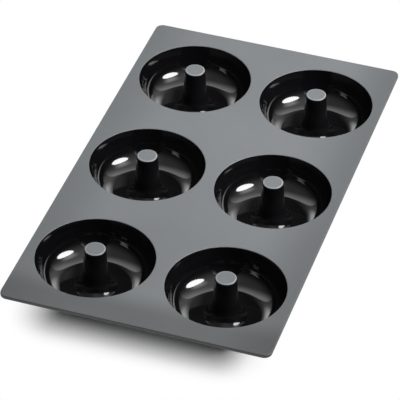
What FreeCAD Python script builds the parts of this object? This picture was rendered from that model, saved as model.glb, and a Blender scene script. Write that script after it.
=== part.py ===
# Doughnut pan: a flexible baking mould of silicone rubber, moulded in one piece.
# A flat sheet with rounded corners carries six ring-shaped cups, two across and three along.
# A hollow tapered post stands in the middle of each cup and rises past the sheet: it makes the
# hole of the doughnut. The wall keeps one thickness, so the underside repeats the cups, and
# the pan stands on the flat rings under them.
# Frame: +Z up, Y along the pan, origin on the table under the middle. Millimetres, degrees.

import FreeCAD, Part
import math
import os

import Sketcher

NODE = "doughnut_pan"

# Driving dimensions. Each becomes a cell of the spreadsheet, with its name as the alias.
SIZES = {
    # the grid of cups, and the strips of sheet between their mouths
    "cups_across": 2,
    "cups_along": 3,
    "web_across": 9.3,
    "web_along": 23.0,
    # the sheet: its margins run from the outer mouths to its long sides and to its ends
    "side_margin": 6.35,
    "end_margin": 14.5,
    "sheet_thickness": 2.5,
    "sheet_corner_radius": 5.0,
    "sheet_edge_radius": 0.6,
    # a cup: its diameter is measured where its side meets the top of the sheet. Its flat floor
    # ends in a faint crease: from there a narrow strip rises at a slope and bends into the side
    "cup_diameter": 75.0,
    "cup_depth": 23.0,
    "cup_draft": 11.0,
    "cup_crease_slope": 10.0,
    "cup_crease_strip": 0.75,
    "cup_floor_radius": 15.0,
    "cup_mouth_radius": 0.5,
    # its post: the diameter is measured where its side meets its flat crown
    "post_diameter": 13.5,
    "post_rise": 7.0,
    "post_draft": 3.5,
    "post_foot_radius": 8.0,
    "post_edge_radius": 1.2,
    "post_crown_thickness": 2.2,
    # the wall of cup and post, and the collar of sheet that is drawn with it: the wall meets
    # the underside of the collar in a rounding, and the lip is what lies past that rounding
    "wall_thickness": 2.0,
    "underside_radius": 1.5,
    "collar_lip": 0.4,
}

# What follows from the driving dimensions, as formulas over the spreadsheet.
SHEET_TOP = "Sizes.wall_thickness + Sizes.cup_depth"
SHEET_UNDERSIDE = f"{SHEET_TOP} - Sizes.sheet_thickness"
CUPS_WIDTH = "(Sizes.cups_across - 1) * (Sizes.cup_diameter + Sizes.web_across)"
CUPS_LENGTH = "(Sizes.cups_along - 1) * (Sizes.cup_diameter + Sizes.web_along)"
SHEET_WIDTH = f"{CUPS_WIDTH} + Sizes.cup_diameter + 2 * Sizes.side_margin"
SHEET_LENGTH = f"{CUPS_LENGTH} + Sizes.cup_diameter + 2 * Sizes.end_margin"
FIRST_CUP_X = f"-{CUPS_WIDTH} / 2"
FIRST_CUP_Y = f"-{CUPS_LENGTH} / 2"
MOUTH_RADIUS = "Sizes.cup_diameter / 2"
COLLAR_RADIUS = f"{MOUTH_RADIUS} + Sizes.wall_thickness + Sizes.underside_radius + Sizes.collar_lip"

# The rounding at the post's foot. It takes up at most nine tenths of the floor between the post
# and the crease, so that some flat floor is left when the cup gets smaller or its bend larger.
CREASE_REACH = ("(Sizes.cup_crease_strip + Sizes.cup_floor_radius"
                " * tan((90 - Sizes.cup_draft - Sizes.cup_crease_slope) * 0.5 deg))")
CREASE_RADIUS = (f"{MOUTH_RADIUS} - {CREASE_REACH} * cos(Sizes.cup_crease_slope * 1 deg)"
                 f" - (Sizes.cup_depth - {CREASE_REACH} * sin(Sizes.cup_crease_slope * 1 deg))"
                 " * tan(Sizes.cup_draft * 1 deg)")
POST_AT_FLOOR = ("Sizes.post_diameter / 2"
                 " + (Sizes.cup_depth + Sizes.post_rise) * tan(Sizes.post_draft * 1 deg)")
FOOT_ROOM = f"(({CREASE_RADIUS}) - ({POST_AT_FLOOR})) / tan((90 - Sizes.post_draft) * 0.5 deg)"
FOOT_RADIUS = f"min(Sizes.post_foot_radius; 0.9 * {FOOT_ROOM})"

# The numbers by which a constraint names a curve's ends and centre, and the sketch's own
# origin and upright axis.
START, END, CENTRE = range(1, 4)
HORIZONTAL_AXIS, VERTICAL_AXIS = range(-1, -3, -1)
ORIGIN = (HORIZONTAL_AXIS, START)

TOLERANCE = 1e-6


def fill_spreadsheet(doc):
    """The driving dimensions, one to a row: the name, and beside it the cell with that alias."""
    sheet = doc.addObject("Spreadsheet::Sheet", "Sizes")
    for row, (name, value) in enumerate(SIZES.items(), start=1):
        sheet.set(f"A{row}", name)
        sheet.set(f"B{row}", str(value))
        sheet.setAlias(f"B{row}", name)
    doc.recompute()


def origin_feature(body, role):
    """The body's own origin plane or axis that has this role."""
    return next(item for item in body.Origin.OriginFeatures if item.Role == role)


def new_sketch(body, name, plane, **offset):
    """An empty sketch on one of the body's origin planes, moved off it by formulas."""
    sketch = body.newObject("Sketcher::SketchObject", name)
    sketch.AttachmentSupport = [(origin_feature(body, plane), "")]
    sketch.MapMode = "FlatFace"
    for axis, formula in offset.items():
        sketch.setExpression(f".AttachmentOffset.Base.{axis}", formula)
    return sketch


def measure(item, formula):
    """What a formula over the spreadsheet comes to."""
    return float(item.evalExpression(formula))


def constrain(sketch, kind, *where):
    """A geometric constraint, such as Horizontal, Parallel or Tangent."""
    sketch.addConstraint(Sketcher.Constraint(kind, *where))


def dimension(sketch, name, formula, kind, *where):
    """A named dimension of the sketch that follows a formula over the spreadsheet."""
    value = measure(sketch, formula)
    if kind == "Angle":
        value = math.radians(value)
    index = sketch.addConstraint(Sketcher.Constraint(kind, *where, value))
    sketch.renameConstraint(index, name)
    sketch.setExpression(f"Constraints.{name}", formula)


def left_of(direction):
    """A direction in the sketch turned a quarter turn to the left."""
    return FreeCAD.Vector(-direction.y, direction.x, 0)


def draw_loop(sketch, corners):
    """A closed loop of lines, with a tangent arc in each corner that has a radius.

    A corner is (x, y, radius), and radius 0 leaves it sharp. An arc takes radius * tan(half
    the turn) off both its lines, and its centre lies on the inner side of the turn. Returns
    the lines, of which line n starts at corner n, and the arcs by the number of their corner.
    """
    points = [FreeCAD.Vector(x, y, 0) for x, y, radius in corners]
    following = points[1:] + points[:1]
    headings = [(after - point).normalize() for point, after in zip(points, following)]
    line_starts = []
    line_ends = []
    turns = []
    for n, (x, y, radius) in enumerate(corners):
        before, after = headings[n - 1], headings[n]
        turn = math.atan2(left_of(before) * after, before * after)
        trim = radius * math.tan(abs(turn) / 2)
        line_ends.append(points[n] - before * trim)
        line_starts.append(points[n] + after * trim)
        turns.append(turn)

    lines = []
    for start, end in zip(line_starts, line_ends[1:] + line_ends[:1]):
        lines.append(sketch.addGeometry(Part.LineSegment(start, end), False))

    arcs = {}
    for n, (x, y, radius) in enumerate(corners):
        if radius == 0:
            constrain(sketch, "Coincident", lines[n - 1], END, lines[n], START)
            continue
        to_the_left = turns[n] > 0
        inward = left_of(headings[n - 1]) * (1 if to_the_left else -1)
        centre = line_ends[n] + inward * radius
        span = [line_ends[n], line_starts[n]] if to_the_left else [line_starts[n], line_ends[n]]
        angles = [math.atan2(point.y - centre.y, point.x - centre.x) for point in span]
        circle = Part.Circle(centre, FreeCAD.Vector(0, 0, 1), radius)
        arcs[n] = sketch.addGeometry(Part.ArcOfCircle(circle, *angles), False)
        first, last = (START, END) if to_the_left else (END, START)
        constrain(sketch, "Tangent", lines[n - 1], END, arcs[n], first)
        constrain(sketch, "Tangent", arcs[n], last, lines[n], START)
    return lines, arcs


def sharp_corner(sketch, x, y, first_line, second_line):
    """A construction point where two lines with a rounded corner would meet."""
    corner = sketch.addGeometry(Part.Point(FreeCAD.Vector(x, y, 0)), True)
    constrain(sketch, "PointOnObject", corner, START, first_line)
    constrain(sketch, "PointOnObject", corner, START, second_line)
    return corner


def level_edges(shape):
    """Names of the edges whose two ends lie at one height."""
    names = []
    for number, edge in enumerate(shape.Edges, start=1):
        if abs(edge.Vertexes[0].Z - edge.Vertexes[-1].Z) < TOLERANCE:
            names.append(f"Edge{number}")
    return names


def add_sheet(body, sizes):
    """The flat sheet: a padded rounded rectangle, its edges eased above and below."""
    outline = new_sketch(body, "sheet_outline", "XY_Plane", z=SHEET_UNDERSIDE)
    right = measure(outline, SHEET_WIDTH) / 2
    back = measure(outline, SHEET_LENGTH) / 2
    radius = sizes.sheet_corner_radius
    corners = [(right, -back), (right, back), (-right, back), (-right, -back)]
    lines, arcs = draw_loop(outline, [(x, y, radius) for x, y in corners])
    right_side, back_side, left_side, front_side = lines
    for line in (right_side, left_side):
        constrain(outline, "Vertical", line)
    for line in (back_side, front_side):
        constrain(outline, "Horizontal", line)
    for other in (1, 2, 3):
        constrain(outline, "Equal", arcs[0], arcs[other])
    constrain(outline, "Symmetric", left_side, START, right_side, START, *ORIGIN)
    dimension(outline, "corner_radius", "Sizes.sheet_corner_radius", "Radius", arcs[0])
    dimension(outline, "width", SHEET_WIDTH, "DistanceX", left_side, START, right_side, START)
    dimension(outline, "length", SHEET_LENGTH, "DistanceY", front_side, START, back_side, START)

    pad = body.newObject("PartDesign::Pad", "sheet")
    pad.Profile = outline
    pad.setExpression("Length", "Sizes.sheet_thickness")
    body.Document.recompute()

    eased = body.newObject("PartDesign::Fillet", "sheet_edges")
    eased.Base = (pad, level_edges(pad.Shape))
    eased.setExpression("Radius", "Sizes.sheet_edge_radius")
    body.Document.recompute()
    return eased


def add_cup_opening(body):
    """The round hole in the sheet that the first cup fills with its wall and its collar."""
    outline = new_sketch(body, "cup_opening_outline", "XY_Plane", x=FIRST_CUP_X, y=FIRST_CUP_Y, z=SHEET_TOP)
    middle = FreeCAD.Vector(0, 0, 0)
    upwards = FreeCAD.Vector(0, 0, 1)
    circle = outline.addGeometry(Part.Circle(middle, upwards, measure(outline, COLLAR_RADIUS)), False)
    constrain(outline, "Coincident", circle, CENTRE, *ORIGIN)
    dimension(outline, "collar_radius", COLLAR_RADIUS, "Radius", circle)

    opening = body.newObject("PartDesign::Pocket", "cup_opening")
    opening.Profile = outline
    opening.setExpression("Length", "Sizes.sheet_thickness")
    body.Document.recompute()
    return opening


def add_cup_wall(body, sizes):
    """The first cup with its post: the section of the wall, revolved about the post's axis.

    The section runs from the axis over the crown, down the post, along the floor, up the side
    of the cup and over its mouth to the edge of the collar, and returns underneath at one wall
    thickness. Its bends share their centres above and below, which keeps that thickness round
    them. A corner's lines lose radius * tan(half the turn) to its arc, so the creased strip,
    drawn on to where it would meet the side, is longer by that much.
    """
    wall = sizes.wall_thickness
    cup_lean = math.tan(math.radians(sizes.cup_draft))
    post_lean = math.tan(math.radians(sizes.post_draft))
    cup_wall = wall / math.cos(math.radians(sizes.cup_draft))
    post_wall = wall / math.cos(math.radians(sizes.post_draft))
    sheet_top = wall + sizes.cup_depth
    sheet_under = sheet_top - sizes.sheet_thickness
    crown_top = sheet_top + sizes.post_rise
    crown_under = crown_top - sizes.post_crown_thickness
    mouth = sizes.cup_diameter / 2
    crown = sizes.post_diameter / 2

    def cup_side(height):
        return mouth - (sheet_top - height) * cup_lean

    def post_side(height):
        return crown + (crown_top - height) * post_lean

    slope = math.radians(sizes.cup_crease_slope)
    half_turn = (math.radians(90 - sizes.cup_draft) - slope) / 2
    reach = sizes.cup_crease_strip + sizes.cup_floor_radius * math.tan(half_turn)
    bend_height = wall + reach * math.sin(slope)
    crease = cup_side(bend_height) - reach * math.cos(slope)
    crease_under = crease + wall * math.tan(slope / 2)
    reach_under = reach + wall * (math.tan(half_turn) + math.tan(slope / 2))

    section = new_sketch(body, "cup_wall_section", "XZ_Plane", x=FIRST_CUP_X, z=f"{CUPS_LENGTH} / 2")
    collar = measure(section, COLLAR_RADIUS)
    foot_radius = measure(section, FOOT_RADIUS)
    lines, arcs = draw_loop(section, [
        (0, crown_top, 0),
        (crown, crown_top, sizes.post_edge_radius),
        (post_side(wall), wall, foot_radius),
        (crease, wall, 0),
        (cup_side(bend_height), bend_height, sizes.cup_floor_radius),
        (mouth, sheet_top, sizes.cup_mouth_radius),
        (collar, sheet_top, 0),
        (collar, sheet_under, 0),
        (cup_side(sheet_under) + cup_wall, sheet_under, sizes.underside_radius),
        (crease_under + reach_under * math.cos(slope), reach_under * math.sin(slope),
         sizes.cup_floor_radius + wall),
        (crease_under, 0, 0),
        (post_side(0) - post_wall, 0, foot_radius + wall),
        (post_side(crown_under) - post_wall, crown_under, 0),
        (0, crown_under, 0),
    ])
    (crown_line, post_line, floor_line, crease_line, cup_line, collar_line, collar_edge,
     collar_under, cup_outside, crease_outside, foot_line, hollow_line, hollow_top, axis_line) = lines
    (post_edge, post_foot, floor_bend, mouth_bend,
     under_bend, floor_bend_under, post_foot_under) = arcs.values()

    for line in (crown_line, floor_line, collar_line, collar_under, foot_line, hollow_top):
        constrain(section, "Horizontal", line)
    constrain(section, "Vertical", collar_edge)
    constrain(section, "PointOnObject", axis_line, START, VERTICAL_AXIS)
    constrain(section, "PointOnObject", axis_line, END, VERTICAL_AXIS)
    constrain(section, "Parallel", cup_line, cup_outside)
    constrain(section, "Parallel", crease_line, crease_outside)
    constrain(section, "Parallel", post_line, hollow_line)
    constrain(section, "Coincident", floor_bend, CENTRE, floor_bend_under, CENTRE)
    constrain(section, "Coincident", post_foot, CENTRE, post_foot_under, CENTRE)

    dimension(section, "post_edge_radius", "Sizes.post_edge_radius", "Radius", post_edge)
    dimension(section, "post_foot_radius", FOOT_RADIUS, "Radius", post_foot)
    dimension(section, "cup_floor_radius", "Sizes.cup_floor_radius", "Radius", floor_bend)
    dimension(section, "cup_mouth_radius", "Sizes.cup_mouth_radius", "Radius", mouth_bend)
    dimension(section, "underside_radius", "Sizes.underside_radius", "Radius", under_bend)
    dimension(section, "cup_floor_radius_under", "Sizes.cup_floor_radius + Sizes.wall_thickness",
              "Radius", floor_bend_under)
    dimension(section, "post_foot_radius_under", f"{FOOT_RADIUS} + Sizes.wall_thickness",
              "Radius", post_foot_under)

    dimension(section, "cup_lean", "90 - Sizes.cup_draft", "Angle", cup_line)
    dimension(section, "crease_slope", "Sizes.cup_crease_slope", "Angle", crease_line)
    dimension(section, "crease_strip", "Sizes.cup_crease_strip", "Distance", crease_line)
    dimension(section, "post_lean", "Sizes.post_draft - 90", "Angle", post_line)

    dimension(section, "floor_height", "Sizes.wall_thickness", "DistanceY", *ORIGIN, floor_line, START)
    dimension(section, "cup_depth", "Sizes.cup_depth", "DistanceY", floor_line, START, collar_line, START)
    dimension(section, "sheet_thickness", "Sizes.sheet_thickness",
              "DistanceY", collar_edge, END, collar_edge, START)
    dimension(section, "post_rise", "Sizes.post_rise", "DistanceY", collar_line, START, crown_line, START)
    dimension(section, "crown_thickness", "Sizes.post_crown_thickness",
              "DistanceY", axis_line, START, axis_line, END)

    mouth_corner = sharp_corner(section, mouth, sheet_top, cup_line, collar_line)
    crown_corner = sharp_corner(section, crown, crown_top, post_line, crown_line)
    dimension(section, "cup_mouth", MOUTH_RADIUS, "DistanceX", *ORIGIN, mouth_corner, START)
    dimension(section, "post_crown", "Sizes.post_diameter / 2", "DistanceX", *ORIGIN, crown_corner, START)
    dimension(section, "collar_radius", COLLAR_RADIUS, "DistanceX", *ORIGIN, collar_edge, START)

    revolved = body.newObject("PartDesign::Revolution", "cup_wall")
    revolved.Profile = section
    revolved.ReferenceAxis = (section, ["V_Axis"])
    revolved.Angle = 360
    body.Document.recompute()
    return revolved


def repeat_cups(body, features):
    """The cup's opening and wall, repeated over the grid."""
    grid = body.newObject("PartDesign::LinearPattern", "cup_grid")
    grid.Originals = features
    grid.Direction = (origin_feature(body, "X_Axis"), [""])
    grid.Mode = "Extent"
    grid.setExpression("Length", CUPS_WIDTH)
    grid.setExpression("Occurrences", "Sizes.cups_across")
    grid.Direction2 = (origin_feature(body, "Y_Axis"), [""])
    grid.Mode2 = "Extent"
    grid.setExpression("Length2", CUPS_LENGTH)
    grid.setExpression("Occurrences2", "Sizes.cups_along")
    body.Tip = grid
    body.Document.recompute()
    return grid


def check_features(doc):
    """Stops if any object of the document failed to build."""
    for item in doc.Objects:
        if "Invalid" in item.State or "Error" in item.State:
            raise RuntimeError(f"{item.Label} failed: {item.State}")


def check_volume(body, sheet, cup_wall, sizes):
    """Stops unless the pan holds its sheet, less the openings, plus the cup walls."""
    cups = sizes.cups_across * sizes.cups_along
    opening = math.pi * measure(body, COLLAR_RADIUS) ** 2 * sizes.sheet_thickness
    expected = sheet.Shape.Volume + cups * (cup_wall.AddSubShape.Volume - opening)
    if not math.isclose(body.Shape.Volume, expected, rel_tol=TOLERANCE):
        raise RuntimeError(f"the pan's volume is {body.Shape.Volume}, not {expected}")


def main():
    doc = FreeCAD.newDocument("doughnut_pan")
    fill_spreadsheet(doc)
    sizes = doc.Sizes

    body = doc.addObject("PartDesign::Body", "Body")
    body.Label = NODE
    body.Placement = FreeCAD.Placement()
    sheet = add_sheet(body, sizes)
    opening = add_cup_opening(body)
    cup_wall = add_cup_wall(body, sizes)
    repeat_cups(body, [opening, cup_wall])
    doc.recompute()

    check_features(doc)
    check_volume(body, sheet, cup_wall, sizes)
    shape = body.Shape
    if shape.isNull() or not shape.isValid() or len(shape.Solids) != 1:
        raise RuntimeError("the pan isn't one valid solid")

    os.makedirs("parts", exist_ok=True)
    shape.exportStep(f"parts/{body.Label}.step")
    box = shape.optimalBoundingBox()
    print(f"{body.Label}: {box.XLength:.2f} x {box.YLength:.2f} x {box.ZLength:.2f} mm, "
          f"lowest point {box.ZMin:.3f}, volume {shape.Volume / 1000:.1f} cm3")


main()
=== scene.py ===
import bpy
import math
import numpy as np
from mathutils import Matrix, Quaternion, Vector


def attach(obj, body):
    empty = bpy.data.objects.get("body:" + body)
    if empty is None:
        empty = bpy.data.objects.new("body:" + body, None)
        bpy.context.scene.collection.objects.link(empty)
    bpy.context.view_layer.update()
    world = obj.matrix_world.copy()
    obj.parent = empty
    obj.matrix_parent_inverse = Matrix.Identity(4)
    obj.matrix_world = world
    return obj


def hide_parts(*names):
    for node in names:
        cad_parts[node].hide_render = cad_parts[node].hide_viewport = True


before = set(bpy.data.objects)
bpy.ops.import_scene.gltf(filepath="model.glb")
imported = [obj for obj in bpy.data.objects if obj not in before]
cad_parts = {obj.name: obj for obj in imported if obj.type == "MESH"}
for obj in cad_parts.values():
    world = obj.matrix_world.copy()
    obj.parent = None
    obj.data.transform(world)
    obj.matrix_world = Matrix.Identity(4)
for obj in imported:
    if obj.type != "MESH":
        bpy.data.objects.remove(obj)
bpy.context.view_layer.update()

# The pan: one moulding of black silicone rubber, pressed hot in a two-part tool. Its sheet, six
# ring-shaped cups and six hollow posts are one skin of even wall, so it is one closed surface
# here too. The tool is spark-eroded for the sheet and polished for the inside of the cups.

# Lengths are in millimetres, and MM turns them into metres when the mesh is made. The sheet is
# parted into one cell for each cup. A mouth, a crown and a crease are given by their radius.
MM = 0.001
HALF_WIDTH = 86.0
HALF_LENGTH = 150.0
CUPS_X = (-42.15, 42.15)
CUPS_Y = (-98.0, 0.0, 98.0)
CELLS_X = (-HALF_WIDTH, 0.0, HALF_WIDTH)
CELLS_Y = (-HALF_LENGTH, -49.0, 49.0, HALF_LENGTH)
SHEET_TOP = 25.0
SHEET_UNDERSIDE = 22.5
SHEET_CORNER = 5.0
SHEET_EDGE = 0.6
WALL = 2.0
MOUTH = 37.5
MOUTH_EDGE = 0.5
CROWN = 6.75
CROWN_EDGE = 1.2
CROWN_TOP = 32.0
HOLLOW_TOP = 29.8
HOLLOW_EDGE = 0.5
CUP_TILT = math.radians(11.0)
POST_TILT = math.radians(3.5)
CUP_LEAN = math.tan(CUP_TILT)
POST_LEAN = math.tan(POST_TILT)
CUP_WALL = WALL / math.cos(CUP_TILT)
POST_WALL = WALL / math.cos(POST_TILT)


def cup_side(height):
    """Radius of the cup's side at a height: the mouth's, less the lean times the depth."""
    return MOUTH - (SHEET_TOP - height) * CUP_LEAN


def post_side(height):
    """Radius of the post's side at a height: the crown's, plus the lean times the drop."""
    return CROWN + (CROWN_TOP - height) * POST_LEAN


# The floor of a cup ends in a faint crease. From there a strip 0.75 mm wide rises at 10 degrees
# and bends into the side at a radius of 15 mm, which takes 69 degrees. Drawn on to the corner
# that the bend rounds off, the strip is longer by radius * tan(half the turn).
SLOPE = math.radians(10.0)
STRIP = 0.75
BEND = 15.0
HALF_BEND = math.radians(34.5)
REACH = STRIP + BEND * math.tan(HALF_BEND)
BEND_HEIGHT = WALL + REACH * math.sin(SLOPE)
CREASE = cup_side(BEND_HEIGHT) - REACH * math.cos(SLOPE)
CREASE_EDGE = 0.8
CREASE_UNDER = CREASE + WALL * math.tan(SLOPE / 2)
REACH_UNDER = REACH + WALL * (math.tan(HALF_BEND) + math.tan(SLOPE / 2))
COLLAR_UNDER = cup_side(SHEET_UNDERSIDE) + CUP_WALL
COLLAR_EDGE = 1.5

# The foot of the post flares down to a faint edge on the floor, which it meets at 30 degrees.
# Its slope and the side of the post are two straight lines, and they meet at this radius.
FOOT_EDGE = 13.4
FOOT_EDGE_ROUNDING = 0.02
FOOT_FALL = math.tan(math.radians(30.0))
FOOT_MEETS_SIDE = (post_side(WALL) - FOOT_EDGE * FOOT_FALL * POST_LEAN) / (1.0 - FOOT_FALL * POST_LEAN)
FOOT_TOP = WALL + (FOOT_EDGE - FOOT_MEETS_SIDE) * FOOT_FALL
FOOT_BEND = 10.5
FOOT_BEND_UNDER = 10.0


def rounded_section(corners):
    """Points and left-hand normals along straight runs whose corners are rounded.

    Each corner is (radius, height, rounding, steps). With the headings a and b of the runs
    that meet there, the arc starts rounding * tan(half the turn) before the corner. Along it
    the heading goes evenly from a to b, the normal is the heading turned a quarter to the
    left, and the point is the arc's centre less the normal times the rounding, signed as the
    turn is. Returns the points, the normals and the number of each corner's first point.
    """
    points, normals, first = [], [], []
    spots = np.array([corner[:2] for corner in corners])
    headings = np.arctan2(np.diff(spots[:, 1]), np.diff(spots[:, 0]))
    for n, (radius, height, rounding, steps) in enumerate(corners):
        before = headings[max(n - 1, 0)]
        after = headings[min(n, len(headings) - 1)]
        turn = (after - before + math.pi) % (2 * math.pi) - math.pi
        heading = before + turn * np.linspace(0, 1, steps + 1)
        normal = np.stack([-np.sin(heading), np.cos(heading)], axis=1)
        signed = math.copysign(rounding, turn)
        trim = rounding * math.tan(abs(turn) / 2)
        start = spots[n] - trim * np.array([math.cos(before), math.sin(before)])
        first.append(sum(len(part) for part in points))
        points.append(start + signed * normal[0] - signed * normal)
        normals.append(normal)
    return np.concatenate(points), np.concatenate(normals), first


# The two sides of the wall, each from the post's axis out to the flat of the sheet.
inside, inside_normals, stations = rounded_section([
    (0.0, CROWN_TOP, 0.0, 0),
    (CROWN, CROWN_TOP, CROWN_EDGE, 8),
    (FOOT_MEETS_SIDE, FOOT_TOP, FOOT_BEND, 12),
    (FOOT_EDGE, WALL, FOOT_EDGE_ROUNDING, 2),
    (CREASE, WALL, CREASE_EDGE, 2),
    (cup_side(BEND_HEIGHT), BEND_HEIGHT, BEND, 28),
    (MOUTH, SHEET_TOP, MOUTH_EDGE, 6),
    (MOUTH + 1.5, SHEET_TOP, 0.0, 0)])
outside, outside_normals, _ = rounded_section([
    (0.0, HOLLOW_TOP, 0.0, 0),
    (post_side(HOLLOW_TOP) - POST_WALL, HOLLOW_TOP, HOLLOW_EDGE, 4),
    (post_side(0.0) - POST_WALL, 0.0, FOOT_BEND_UNDER, 8),
    (CREASE_UNDER, 0.0, CREASE_EDGE, 2),
    (CREASE_UNDER + REACH_UNDER * math.cos(SLOPE), REACH_UNDER * math.sin(SLOPE), BEND + WALL, 12),
    (COLLAR_UNDER, SHEET_UNDERSIDE, COLLAR_EDGE, 6),
    (COLLAR_UNDER + 2.0, SHEET_UNDERSIDE, 0.0, 0)])

# The finishes, numbered as the mesh carries them. Satin is the sheet, the crowns and the whole
# underside, and rim is the lower part of the sheet's edge. The upper half of the crown's edge is
# paler. The core that forms the post leaves it dull from there down to a third of the bend into
# its foot. The rest of the foot shines a little, and the rest of the cup is glossy.
SATIN, GLOSS, CORE, PALE_EDGE, SHADED_RIM, FOOT = range(6)
crown_edge, foot_bend, foot_edge, mouth_edge = stations[1], stations[2], stations[3], stations[6]
inside_finish = np.full(len(inside) - 1, SATIN)
inside_finish[crown_edge:crown_edge + 4] = PALE_EDGE
inside_finish[crown_edge + 4:foot_bend + 4] = CORE
inside_finish[foot_bend + 4:foot_edge + 2] = FOOT
inside_finish[foot_edge + 2:mouth_edge] = GLOSS

# A cell's outline has this many steps to each side. A cup's rings have as many points as the
# whole outline, and both start at the front left.
STEPS_PER_SIDE = 36
CROWDING = 0.12
around = np.radians(np.linspace(-135.0, 225.0, 4 * STEPS_PER_SIDE, endpoint=False))


def cell_outline(column, row, inset):
    """The outline of a cup's cell of the sheet, anticlockwise from its front left corner.

    Each side is s from 0 to 1 with s = t - crowding * sin(2 pi t), which crowds its points
    towards the corners. A point in a corner of the sheet is drawn in along the ray from the
    centre of the rounding. Also returns the outward normals on the sheet's rim, and which
    steps of the outline run along that rim.
    """
    t = np.arange(STEPS_PER_SIDE) / STEPS_PER_SIDE
    s = t - CROWDING * np.sin(2 * np.pi * t)
    x = np.clip(CELLS_X[column:column + 2], inset - HALF_WIDTH, HALF_WIDTH - inset)
    y = np.clip(CELLS_Y[row:row + 2], inset - HALF_LENGTH, HALF_LENGTH - inset)
    along_x, along_y = x[0] + (x[1] - x[0]) * s, y[0] + (y[1] - y[0]) * s
    back_x, back_y = x[1] + (x[0] - x[1]) * s, y[1] + (y[0] - y[1]) * s
    outline = np.concatenate([
        np.stack([along_x, np.full_like(s, y[0])], axis=1),
        np.stack([np.full_like(s, x[1]), along_y], axis=1),
        np.stack([back_x, np.full_like(s, y[1])], axis=1),
        np.stack([np.full_like(s, x[0]), back_y], axis=1)])
    corner = np.array([HALF_WIDTH, HALF_LENGTH]) - SHEET_CORNER
    ray = outline - np.clip(outline, -corner, corner)
    length = np.maximum(np.linalg.norm(ray, axis=1, keepdims=True), 1e-9)
    in_corner = np.all(np.abs(outline) > corner, axis=1)
    drawn_in = outline - ray + ray / length * (SHEET_CORNER - inset)
    outline = np.where(in_corner[:, None], drawn_in, outline)
    on_rim = np.repeat([row == 0, column == 1, row == 2, column == 0], STEPS_PER_SIDE)
    return outline, ray / length, on_rim


def revolve(section, section_normals, centre):
    """Rings of a section turned about a cup's axis: (x, y) = centre + r (cos a, sin a)."""
    turn = np.stack([np.cos(around), np.sin(around)], axis=1)
    plan = section[:, None, :1] * turn + centre
    rings = np.concatenate([plan, np.broadcast_to(section[:, None, 1:], plan.shape[:2] + (1,))], axis=2)
    slopes = np.broadcast_to(section_normals[:, None, 1:], plan.shape[:2] + (1,))
    return rings, np.concatenate([section_normals[:, None, :1] * turn, slopes], axis=2)


def flat_between(ring, outline, height):
    """Rings from a cup's last ring to its cell's outline, a third of the way at each step."""
    share = np.array([1 / 3, 2 / 3, 1.0])[:, None, None]
    plan = ring[:, :2] * (1 - share) + outline * share
    return np.concatenate([plan, np.full(plan.shape[:2] + (1,), height)], axis=2)


def sheet_edge(outline, outward):
    """The sheet's edge as rings from its top to its underside, rounded above and below.

    With the turn a from 0 to 90 degrees a point stands off the inset outline by the rounding
    times sin a, and below the top by the rounding times 1 - cos a; the underside mirrors it.
    """
    a = np.radians(np.linspace(0, 90, 5))
    off = SHEET_EDGE * np.sin(np.concatenate([a, a[::-1]]))
    drop = SHEET_EDGE * (1 - np.cos(a))
    height = np.concatenate([SHEET_TOP - drop, SHEET_UNDERSIDE + drop[::-1]])
    plan = outline + outward * off[:, None, None]
    lean = np.concatenate([np.cos(a), -np.cos(a[::-1])])
    rings = np.concatenate([plan, np.broadcast_to(height[:, None, None], plan.shape[:2] + (1,))], axis=2)
    flat = np.broadcast_to(outward, plan.shape) * np.sqrt(1 - lean ** 2)[:, None, None]
    return rings, np.concatenate([flat, np.broadcast_to(lean[:, None, None], plan.shape[:2] + (1,))], axis=2)


def lay(rings, ring_normals, upright, finish):
    """Quads between neighbouring closed rings, anticlockwise seen from outside.

    upright is false for the underside, where the rings run the other way round. finish gives
    the material's number for each gap between two rings.
    """
    count, points_around = rings.shape[:2]
    index = np.arange(count * points_around).reshape(count, points_around)
    beside = np.roll(index, -1, axis=1)
    quads = np.stack([index[:-1], index[1:], beside[1:], beside[:-1]], axis=2)
    if not upright:
        quads = quads[:, :, ::-1]
    materials = np.broadcast_to(np.asarray(finish).reshape(-1, 1), (count - 1, points_around))
    return rings.reshape(-1, 3), ring_normals.reshape(-1, 3), quads, materials


points, normals, faces, face_finish = [], [], [], []


def keep(part, on_rim=None):
    """Adds one laid part to the pan, of the sheet's edge only the steps along the rim."""
    part_points, part_normals, quads, materials = part
    if on_rim is not None:
        quads, materials = quads[:, on_rim], materials[:, on_rim]
    faces.append(quads.reshape(-1, 4) + sum(len(p) for p in points))
    face_finish.append(materials.reshape(-1))
    points.append(part_points)
    normals.append(part_normals)


for row, cup_y in enumerate(CUPS_Y):
    for column, cup_x in enumerate(CUPS_X):
        outline, outward, on_rim = cell_outline(column, row, SHEET_EDGE)

        rings, ring_normals = revolve(inside, inside_normals, (cup_x, cup_y))
        flat = flat_between(rings[-1], outline, SHEET_TOP)
        upward = np.broadcast_to((0.0, 0.0, 1.0), flat.shape)
        finish = np.concatenate([inside_finish, np.full(len(flat), SATIN)])
        keep(lay(np.concatenate([rings, flat]), np.concatenate([ring_normals, upward]), True, finish))

        rings, ring_normals = revolve(outside, -outside_normals, (cup_x, cup_y))
        flat = flat_between(rings[-1], outline, SHEET_UNDERSIDE)
        downward = np.broadcast_to((0.0, 0.0, -1.0), flat.shape)
        finish = np.full(len(rings) + len(flat) - 1, SATIN)
        keep(lay(np.concatenate([rings, flat]), np.concatenate([ring_normals, downward]), False, finish))

        rings, ring_normals = sheet_edge(outline, outward)
        # The lower part of the sheet's edge takes a painted shade, much darker than the satin.
        finish = np.where(np.arange(len(rings) - 1) < 2, SATIN, SHADED_RIM)
        keep(lay(rings, ring_normals, True, finish), on_rim)

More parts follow.
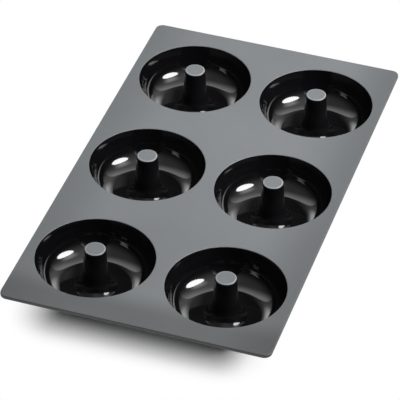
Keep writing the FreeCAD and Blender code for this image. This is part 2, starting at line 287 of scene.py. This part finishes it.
# Points that lie together become one, and a quad with two corners in one place a triangle.
points, normals = np.concatenate(points), np.concatenate(normals)
faces, face_finish = np.concatenate(faces), np.concatenate(face_finish)
_, kept, same = np.unique(np.round(points, 4), axis=0, return_index=True, return_inverse=True)
faces = same.reshape(-1)[faces]
used, renumbered = np.unique(faces, return_inverse=True)
faces = renumbered.reshape(faces.shape)
points, normals = points[kept[used]], normals[kept[used]]
corners = [list(dict.fromkeys(face)) for face in faces.tolist()]

shape = bpy.data.meshes.new("doughnut_pan_moulding")
shape.from_pydata((points * MM).tolist(), [], corners)
shape.polygons.foreach_set("material_index", face_finish.astype(np.int32))
shape.shade_smooth()
shape.normals_split_custom_set_from_vertices(normals.tolist())
pan = bpy.data.objects.new("doughnut_pan_moulding", shape)
bpy.context.scene.collection.objects.link(pan)

# What the finishes share, as a group that each uses with its own values. Height is the grain
# that the tool leaves, and tone the faint cloudiness of filled silicone. The third output is a
# painted shade that scales the colour: darker to the front, along the front edge and at the sides.
surface = bpy.data.node_groups.new("moulded_rubber", "ShaderNodeTree")
surface.interface.new_socket("Vector", in_out="INPUT", socket_type="NodeSocketVector")
surface.interface.new_socket("Grain Scale", in_out="INPUT", socket_type="NodeSocketFloat")
for name in ("Height", "Tone", "Margin"):
    surface.interface.new_socket(name, in_out="OUTPUT", socket_type="NodeSocketFloat")
nodes, links = surface.nodes, surface.links
inputs = nodes.new("NodeGroupInput")
outputs = nodes.new("NodeGroupOutput")
grain = nodes.new("ShaderNodeTexNoise")
grain.inputs["Detail"].default_value = 3.0
grain.inputs["Roughness"].default_value = 0.6
links.new(inputs.outputs["Vector"], grain.inputs["Vector"])
links.new(inputs.outputs["Grain Scale"], grain.inputs["Scale"])
links.new(grain.outputs["Fac"], outputs.inputs["Height"])
cloud = nodes.new("ShaderNodeTexNoise")
cloud.inputs["Scale"].default_value = 28.0
cloud.inputs["Detail"].default_value = 4.0
links.new(inputs.outputs["Vector"], cloud.inputs["Vector"])
links.new(cloud.outputs["Fac"], outputs.inputs["Tone"])
place = nodes.new("ShaderNodeSeparateXYZ")
links.new(inputs.outputs["Vector"], place.inputs["Vector"])
# The painted shade falls towards the front, more along the front edge, and at both sides, most at the right.
painted_shade = None
for axis, full, edge, least in (
        ("Y", 0.05, -0.125, 0.80), ("Y", -0.118, -0.139, 0.58),
        ("X", 0.044, 0.088, 0.62), ("X", -0.044, -0.088, 0.76)):
    fall = nodes.new("ShaderNodeMapRange")
    fall.interpolation_type = "SMOOTHSTEP"
    for name, number in (("From Min", full), ("From Max", edge), ("To Min", 1.0), ("To Max", least)):
        fall.inputs[name].default_value = number
    links.new(place.outputs[axis], fall.inputs["Value"])
    if painted_shade is None:
        painted_shade = fall.outputs["Result"]
        continue
    product = nodes.new("ShaderNodeMath")
    product.operation = "MULTIPLY"
    links.new(painted_shade, product.inputs[0])
    links.new(fall.outputs["Result"], product.inputs[1])
    painted_shade = product.outputs["Value"]
links.new(painted_shade, outputs.inputs["Margin"])


def rubber(name, dark, light, specular, smooth, rough, grain_scale, grain_height):
    """Silicone rubber, with the group's values between two colours and two roughnesses.

    The colour goes from dark to light and the roughness from smooth to rough with the tone.
    The colour is then scaled by the painted shade, and the grain is a bump of the given height.
    """
    material = bpy.data.materials.new(name)
    material.use_nodes = True
    nodes, links = material.node_tree.nodes, material.node_tree.links
    shader = nodes["Principled BSDF"]
    shader.inputs["IOR"].default_value = 1.62
    shader.inputs["Specular IOR Level"].default_value = specular
    where = nodes.new("ShaderNodeTexCoord")
    finish = nodes.new("ShaderNodeGroup")
    finish.node_tree = surface
    finish.inputs["Grain Scale"].default_value = grain_scale
    links.new(where.outputs["Object"], finish.inputs["Vector"])
    colour = nodes.new("ShaderNodeMix")
    colour.data_type = "RGBA"
    colour.inputs["A"].default_value = (*dark, 1.0)
    colour.inputs["B"].default_value = (*light, 1.0)
    links.new(finish.outputs["Tone"], colour.inputs["Factor"])
    shaded = nodes.new("ShaderNodeVectorMath")
    shaded.operation = "SCALE"
    links.new(colour.outputs["Result"], shaded.inputs["Vector"])
    links.new(finish.outputs["Margin"], shaded.inputs["Scale"])
    links.new(shaded.outputs["Vector"], shader.inputs["Base Color"])
    roughness = nodes.new("ShaderNodeMapRange")
    roughness.inputs["To Min"].default_value = smooth
    roughness.inputs["To Max"].default_value = rough
    links.new(finish.outputs["Tone"], roughness.inputs["Value"])
    links.new(roughness.outputs["Result"], shader.inputs["Roughness"])
    bump = nodes.new("ShaderNodeBump")
    bump.inputs["Strength"].default_value = 1.0
    bump.inputs["Distance"].default_value = grain_height
    links.new(finish.outputs["Height"], bump.inputs["Height"])
    links.new(bump.outputs["Normal"], shader.inputs["Normal"])
    return material


# The materials, in the order of the finishes' numbers.
black_dark, black_light = (0.0040, 0.0037, 0.0044), (0.0050, 0.0047, 0.0056)
# The satin's grey is partly the matt rubber's own dark grey and partly a painted sheen.
satin_dark, satin_light = (0.163, 0.174, 0.181), (0.190, 0.204, 0.212)
# The upper half of the crown's edge is paler than the satin.
pale_edge_dark, pale_edge_light = (0.27, 0.285, 0.295), (0.31, 0.33, 0.34)
# The rim's colours are a painted shade on the lower part of the sheet's edge.
rim_shade_dark, rim_shade_light = (0.030, 0.031, 0.033), (0.040, 0.041, 0.043)
for finish in (
        rubber("satin_silicone", satin_dark, satin_light, 0.5, 0.46, 0.54, 2600.0, 0.00002),
        rubber("gloss_silicone", black_dark, black_light, 0.5, 0.05, 0.08, 180.0, 0.000004),
        rubber("core_silicone", black_dark, black_light, 0.14, 0.26, 0.32, 180.0, 0.000004),
        rubber("pale_edge_silicone", pale_edge_dark, pale_edge_light, 0.5, 0.40, 0.46, 2600.0, 0.00002),
        rubber("shaded_rim_silicone", rim_shade_dark, rim_shade_light, 0.5, 0.40, 0.46, 2600.0, 0.00001),
        rubber("foot_silicone", black_dark, black_light, 0.28, 0.05, 0.08, 180.0, 0.000004)):
    shape.materials.append(finish)
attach(pan, "root")
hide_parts("doughnut_pan")

# The floor: a white studio table, a disc just under the pan. Around the pan it is as white as
# the backdrop, and under the sheet it keeps the pan's shadow. From below it is clear, so that
# the underside shows.
floor_shape = bpy.data.meshes.new("studio_floor")
rim = np.stack([np.cos(around), np.sin(around)], axis=1)
radii = np.array([0.3, 1.0, 4.0])[:, None, None]
plan = np.concatenate([[[0.0, 0.0]], (rim * radii).reshape(-1, 2)])
count = len(rim)
spokes = np.arange(count)
fan = np.stack([np.zeros(count, int), 1 + spokes, 1 + (spokes + 1) % count], axis=1)
inner = 1 + np.arange(2 * count).reshape(2, count)
bands = np.stack([inner, inner + count, np.roll(inner, -1, 1) + count, np.roll(inner, -1, 1)], axis=2)
heights = np.full((len(plan), 1), -0.0002)
floor_shape.from_pydata(np.concatenate([plan, heights], axis=1).tolist(), [],
                        fan.tolist() + bands.reshape(-1, 4).tolist())
floor = bpy.data.objects.new("studio_floor", floor_shape)
bpy.context.scene.collection.objects.link(floor)

white = bpy.data.materials.new("studio_white")
white.use_nodes = True
nodes, links = white.node_tree.nodes, white.node_tree.links
paint = nodes["Principled BSDF"]
paint.inputs["Base Color"].default_value = (0.9, 0.9, 0.9, 1.0)
paint.inputs["Roughness"].default_value = 0.9
paint.inputs["Specular IOR Level"].default_value = 0.0

# The shadow shows in full under an oblong that lies a little in front and to the left of the
# pan's middle. Over 36 mm past the oblong it gives way to the white of the backdrop.
where = nodes.new("ShaderNodeTexCoord")
shifted = nodes.new("ShaderNodeVectorMath")
shifted.operation = "ADD"
shifted.inputs[1].default_value = (0.002, 0.008, 0.0)
links.new(where.outputs["Object"], shifted.inputs[0])
unsigned = nodes.new("ShaderNodeVectorMath")
unsigned.operation = "ABSOLUTE"
links.new(shifted.outputs["Vector"], unsigned.inputs[0])
beyond = nodes.new("ShaderNodeVectorMath")
beyond.operation = "SUBTRACT"
beyond.inputs[1].default_value = (0.051, 0.118, 1.0)
links.new(unsigned.outputs["Vector"], beyond.inputs[0])
outer_part = nodes.new("ShaderNodeVectorMath")
outer_part.operation = "MAXIMUM"
outer_part.inputs[1].default_value = (0.0, 0.0, 0.0)
links.new(beyond.outputs["Vector"], outer_part.inputs[0])
distance = nodes.new("ShaderNodeVectorMath")
distance.operation = "LENGTH"
links.new(outer_part.outputs["Vector"], distance.inputs[0])
openness = nodes.new("ShaderNodeMapRange")
openness.interpolation_type = "SMOOTHSTEP"
openness.inputs["From Min"].default_value = -0.001
openness.inputs["From Max"].default_value = 0.036
links.new(distance.outputs["Value"], openness.inputs["Value"])

# The white belongs to what is seen, straight, mirrored or through a clear thing, and not to
# what lights the pan.
path = nodes.new("ShaderNodeLightPath")
seen = nodes.new("ShaderNodeMath")
seen.operation = "ADD"
links.new(path.outputs["Is Camera Ray"], seen.inputs[0])
links.new(path.outputs["Is Glossy Ray"], seen.inputs[1])
seen_at_all = nodes.new("ShaderNodeMath")
seen_at_all.operation = "ADD"
seen_at_all.use_clamp = True
links.new(seen.outputs["Value"], seen_at_all.inputs[0])
links.new(path.outputs["Is Transmission Ray"], seen_at_all.inputs[1])
share = nodes.new("ShaderNodeMath")
share.operation = "MULTIPLY"
links.new(openness.outputs["Result"], share.inputs[0])
links.new(seen_at_all.outputs["Value"], share.inputs[1])
glow = nodes.new("ShaderNodeEmission")
glow.inputs["Strength"].default_value = 1.0
blend = nodes.new("ShaderNodeMixShader")
links.new(share.outputs["Value"], blend.inputs["Fac"])
links.new(paint.outputs["BSDF"], blend.inputs[1])
links.new(glow.outputs["Emission"], blend.inputs[2])
facing_side = nodes.new("ShaderNodeNewGeometry")
clear = nodes.new("ShaderNodeBsdfTransparent")
one_sided = nodes.new("ShaderNodeMixShader")
links.new(facing_side.outputs["Backfacing"], one_sided.inputs["Fac"])
links.new(blend.outputs["Shader"], one_sided.inputs[1])
links.new(clear.outputs["BSDF"], one_sided.inputs[2])
links.new(one_sided.outputs["Shader"], nodes["Material Output"].inputs["Surface"])
floor_shape.materials.append(white)


# The softbox: an oval lamp at the pan's right, which makes the bright spot in every cup. It
# stands 1.2 m off, faces the pan and is rolled about its own axis. An oval lamp's power is pi
# times its width, its height and its level, where 1 is as bright as white paper in plain light.
def direction(azimuth, elevation):
    """The way from the pan's middle, azimuth 0 behind it and 90 at its right, in degrees."""
    azimuth, elevation = math.radians(azimuth), math.radians(elevation)
    return Vector((math.sin(azimuth) * math.cos(elevation),
                   math.cos(azimuth) * math.cos(elevation),
                   math.sin(elevation)))


SOFTBOX_WIDTH = 0.734
SOFTBOX_HEIGHT = 0.445
SOFTBOX_LEVEL = 12.9
SOFTBOX_STAND_OFF = 1.2
softbox_way = direction(92.6, 37.5)
softbox_roll = Quaternion((0.0, 0.0, 1.0), math.radians(-35.0))
softbox = bpy.data.lights.new("right_softbox", "AREA")
softbox.shape = "ELLIPSE"
softbox.size, softbox.size_y = SOFTBOX_WIDTH, SOFTBOX_HEIGHT
softbox.energy = SOFTBOX_LEVEL * SOFTBOX_WIDTH * SOFTBOX_HEIGHT * math.pi
softbox_holder = bpy.data.objects.new("right_softbox", softbox)
softbox_holder.location = softbox_way * SOFTBOX_STAND_OFF
softbox_holder.rotation_mode = "QUATERNION"
softbox_holder.rotation_quaternion = softbox_way.to_track_quat("Z", "Y") @ softbox_roll
softbox_holder.visible_camera = False
bpy.context.scene.collection.objects.link(softbox_holder)

# The surround: the wide diffuser overhead and the sweep behind it, as the world. What the cups
# mirror of them is the grey crescent on the bend of each cup, and its paler ends.
surround = bpy.data.worlds.new("studio")
surround.use_nodes = True
nodes, links = surround.node_tree.nodes, surround.node_tree.links
where = nodes.new("ShaderNodeTexCoord")
parts = nodes.new("ShaderNodeSeparateXYZ")
links.new(where.outputs["Generated"], parts.inputs["Vector"])


def calculate(operation, first, second=None, third=None):
    """A node of the world that works out one number from sockets or plain numbers."""
    node = nodes.new("ShaderNodeMath")
    node.operation = operation
    for socket, value in zip(node.inputs, (first, second, third)):
        if isinstance(value, bpy.types.NodeSocket):
            links.new(value, socket)
        elif value is not None:
            socket.default_value = value
    return node.outputs["Value"]


def smoothly(value, start, end, at_start, at_end):
    """A smooth step of a number between two levels."""
    node = nodes.new("ShaderNodeMapRange")
    node.interpolation_type = "SMOOTHSTEP"
    for name, number in (("From Min", start), ("From Max", end), ("To Min", at_start), ("To Max", at_end)):
        node.inputs[name].default_value = number
    links.new(value, node.inputs["Value"])
    return node.outputs["Result"]


# Where a direction meets a ceiling one metre up, across = x / z and along = y / z. The diffuser
# ends behind the pan on the line along = the greater of 0.47 and 0.62 + 0.5 across. In front of
# that line its level falls from 1.95 to 0.30, with up to 0.55 more at the right. It is weaker
# at the far right, and it fades out low above the horizon.
height = calculate("MAXIMUM", parts.outputs["Z"], 0.02)
across = calculate("DIVIDE", parts.outputs["X"], height)
along = calculate("DIVIDE", parts.outputs["Y"], height)
end_line = calculate("MAXIMUM", calculate("MULTIPLY_ADD", across, 0.5, 0.62), 0.47)
in_front = calculate("SUBTRACT", end_line, along)
more_at_right = calculate(
    "MULTIPLY", smoothly(across, -0.4, 0.4, 0.0, 0.55), smoothly(in_front, 0.2, 0.7, 0.0, 1.0))
level = calculate("ADD", smoothly(in_front, 0.05, 0.7, 1.95, 0.30), more_at_right)
level = calculate("MULTIPLY", level, smoothly(in_front, 0.0, 0.06, 0.0, 1.0))
level = calculate("MULTIPLY", level, smoothly(across, 0.25, 0.85, 1.0, 0.65))
level = calculate("MULTIPLY", level, smoothly(parts.outputs["Z"], 0.25, 0.85, 0.0, 1.0))
level = calculate("ADD", level, 0.045)

# The sweep is brightest at two places behind the pan, each with a wide faint glow about it, and
# a last glow lies about the softbox. Each is (azimuth, elevation, reach in degrees, level).
for glow_azimuth, glow_elevation, reach, peak in (
        (-45.0, 28.5, 17.0, 3.1), (6.0, 30.0, 17.0, 2.9),
        (-56.0, 33.0, 30.0, 0.6), (24.0, 37.0, 32.0, 0.9), (84.0, 52.0, 18.0, 2.4)):
    nearness = nodes.new("ShaderNodeVectorMath")
    nearness.operation = "DOT_PRODUCT"
    nearness.inputs[1].default_value = direction(glow_azimuth, glow_elevation)
    links.new(where.outputs["Generated"], nearness.inputs[0])
    away = calculate("ARCCOSINE", nearness.outputs["Value"])
    level = calculate("ADD", level, smoothly(away, math.radians(2.0), math.radians(reach), peak, 0.0))

# The backdrop is white to the camera and through a clear thing. A glossy surface sees it white
# low down, and above that the lights themselves, which keeps the black of the cups.
path = nodes.new("ShaderNodeLightPath")
low_down = smoothly(parts.outputs["Z"], 0.03, 0.13, 1.0, 0.0)
mirrored = calculate("MULTIPLY", path.outputs["Is Glossy Ray"], low_down)
seen = calculate("MAXIMUM", path.outputs["Is Camera Ray"], path.outputs["Is Transmission Ray"])
seen = calculate("MAXIMUM", seen, mirrored)
backdrop = calculate("MULTIPLY_ADD", seen, calculate("SUBTRACT", 1.0, level), level)
links.new(backdrop, nodes["Background"].inputs["Strength"])
nodes["Background"].inputs["Color"].default_value = (1.0, 1.0, 1.0, 1.0)
bpy.context.scene.world = surround
bpy.context.scene.view_settings.view_transform = "Standard"

# The camera: a long lens 1.66 m off, in front of the pan and a little to its right, looking
# well down on it and tipped by less than a degree.
azimuth, elevation, roll = math.radians(17.616), math.radians(39.045), math.radians(0.851)
target = Vector((0.001349, -0.023977, 0.025))
back = Vector((math.sin(azimuth) * math.cos(elevation),
               -math.cos(azimuth) * math.cos(elevation),
               math.sin(elevation)))
right = Vector((math.cos(azimuth), math.sin(azimuth), 0.0))
up = back.cross(right)
turned_right = right * math.cos(roll) + up * math.sin(roll)
turned_up = up * math.cos(roll) - right * math.sin(roll)
lens = bpy.data.cameras.new("camera")
lens.sensor_width = 36.0
lens.lens = 236.09
lens.clip_end = 20.0
camera = bpy.data.objects.new("camera", lens)
camera.matrix_world = (Matrix.Translation(target + back * 1.6576)
                       @ Matrix((turned_right, turned_up, back)).transposed().to_4x4())
bpy.context.scene.collection.objects.link(camera)
bpy.context.scene.camera = camera
